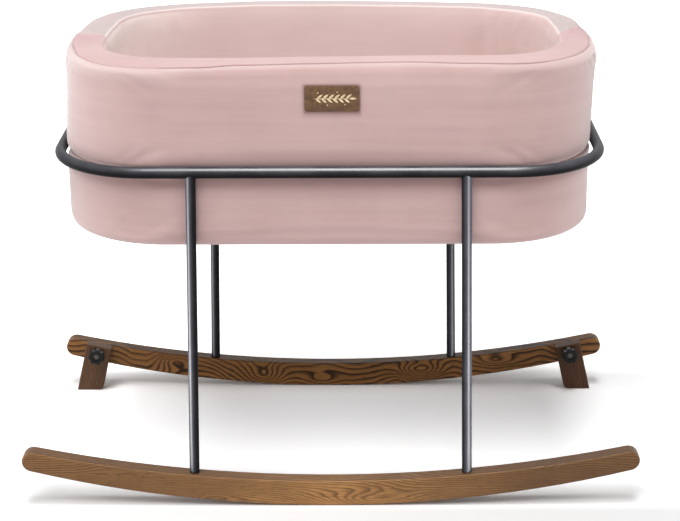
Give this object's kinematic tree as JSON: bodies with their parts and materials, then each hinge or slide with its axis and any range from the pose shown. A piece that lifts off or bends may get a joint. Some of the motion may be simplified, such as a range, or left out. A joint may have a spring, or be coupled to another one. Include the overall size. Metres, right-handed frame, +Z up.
{
  "type": "cradle",
  "caption": "Rocking cradle: padded oval fabric tub held in a steel tube ring on four legs over two curved wooden rockers, with fold-away stop legs.",
  "frame": {"origin": "on the floor under the middle of the cradle, at the bottom centre of its box", "axes": "+X along the rockers to the right seen from the front, +Y from front to rear, +Z up"},
  "size_m": [1, 0.524, 0.735],
  "materials": {
    "rocker_wood": "dark stained, open grain, satin",
    "stop_wood": "dark stained, open grain, satin",
    "rail_wood": "planed, unfinished",
    "plywood": "sanded, unfinished",
    "black_steel": "satin powder coat",
    "zinc_steel": "zinc plated",
    "brass_insert": "turned",
    "knob_plastic": "moulded, fine matt",
    "foam": "open-cell foam",
    "pink_velvet": "short-pile velvet",
    "lining_velvet": "short-pile velvet",
    "dust_cloth": "non-woven",
    "brown_leather": "matt, fine grain",
    "mattress_cloth": "woven cotton"
  },
  "bodies": {
    "frame": {"rocker_front": "rocker_wood", "rocker_rear": "rocker_wood", "front_left_leg": "black_steel", "front_right_leg": "black_steel", "rear_left_leg": "black_steel", "rear_right_leg": "black_steel", "leg_thread_plugs": "zinc_steel", "rocker_bolts": "zinc_steel", "rocker_bolt_washers": "zinc_steel", "ring_tube": "black_steel", "stop_inserts": "brass_insert", "stop_studs": "zinc_steel"},
    "tub": {"tub_hoop": "plywood", "base_board": "plywood", "base_screws": "zinc_steel", "front_seat_rail": "rail_wood", "rear_seat_rail": "rail_wood", "rail_screws": "zinc_steel", "upper_outer_foam": "foam", "lower_outer_foam": "foam", "rim_foam": "foam", "inner_side_foam": "foam", "upper_outer_cover": "pink_velvet", "lower_outer_cover": "pink_velvet", "front_lining": "lining_velvet", "rear_lining": "lining_velvet", "dust_cover": "dust_cloth", "leather_patch": "brown_leather"},
    "mattress": {"mattress_core": "foam", "mattress_cover": "mattress_cloth"},
    "stop_leg_left": {"stop_leg_left": "stop_wood"},
    "stop_washer_left": {"stop_washer_left": "zinc_steel"},
    "stop_knob_left": {"stop_knob_left": "knob_plastic", "stop_knob_insert_left": "brass_insert"},
    "stop_leg_right": {"stop_leg_right": "stop_wood"},
    "stop_washer_right": {"stop_washer_right": "zinc_steel"},
    "stop_knob_right": {"stop_knob_right": "knob_plastic", "stop_knob_insert_right": "brass_insert"}
  },
  "joints": [
    {"name": "tub_lift", "type": "slide", "parent": "frame", "child": "tub", "axis": [0, 0, 1], "range_m": [0, 0.2]},
    {"name": "mattress_lift", "type": "slide", "parent": "tub", "child": "mattress", "axis": [0, 0, 1], "range_m": [0, 0.3]},
    {"name": "left_stop_swing", "type": "hinge", "parent": "frame", "child": "stop_leg_left", "pos_m": [-0.44, 0.2247, 0.07261], "axis": [0, 1, 0], "range_deg": [0, 270]},
    {"name": "left_washer_travel", "type": "slide", "parent": "frame", "child": "stop_washer_left", "axis": [0, -1, 0], "range_m": [0, 0.0025]},
    {"name": "left_knob_turn", "type": "hinge", "parent": "stop_washer_left", "child": "stop_knob_left", "pos_m": [-0.44, 0.2057, 0.07261], "axis": [0, -1, 0], "range_deg": [0, 720]},
    {"name": "right_stop_swing", "type": "hinge", "parent": "frame", "child": "stop_leg_right", "pos_m": [0.44, 0.2247, 0.07261], "axis": [0, -1, 0], "range_deg": [0, 270]},
    {"name": "right_washer_travel", "type": "slide", "parent": "frame", "child": "stop_washer_right", "axis": [0, -1, 0], "range_m": [0, 0.0025]},
    {"name": "right_knob_turn", "type": "hinge", "parent": "stop_washer_right", "child": "stop_knob_right", "pos_m": [0.44, 0.2057, 0.07261], "axis": [0, -1, 0], "range_deg": [0, 720]}
  ],
  "couplings": [
    {"joint": "left_washer_travel", "follows": "left_knob_turn", "m_per_rad": 0.00019894},
    {"joint": "right_washer_travel", "follows": "right_knob_turn", "m_per_rad": 0.00019894}
  ]
}
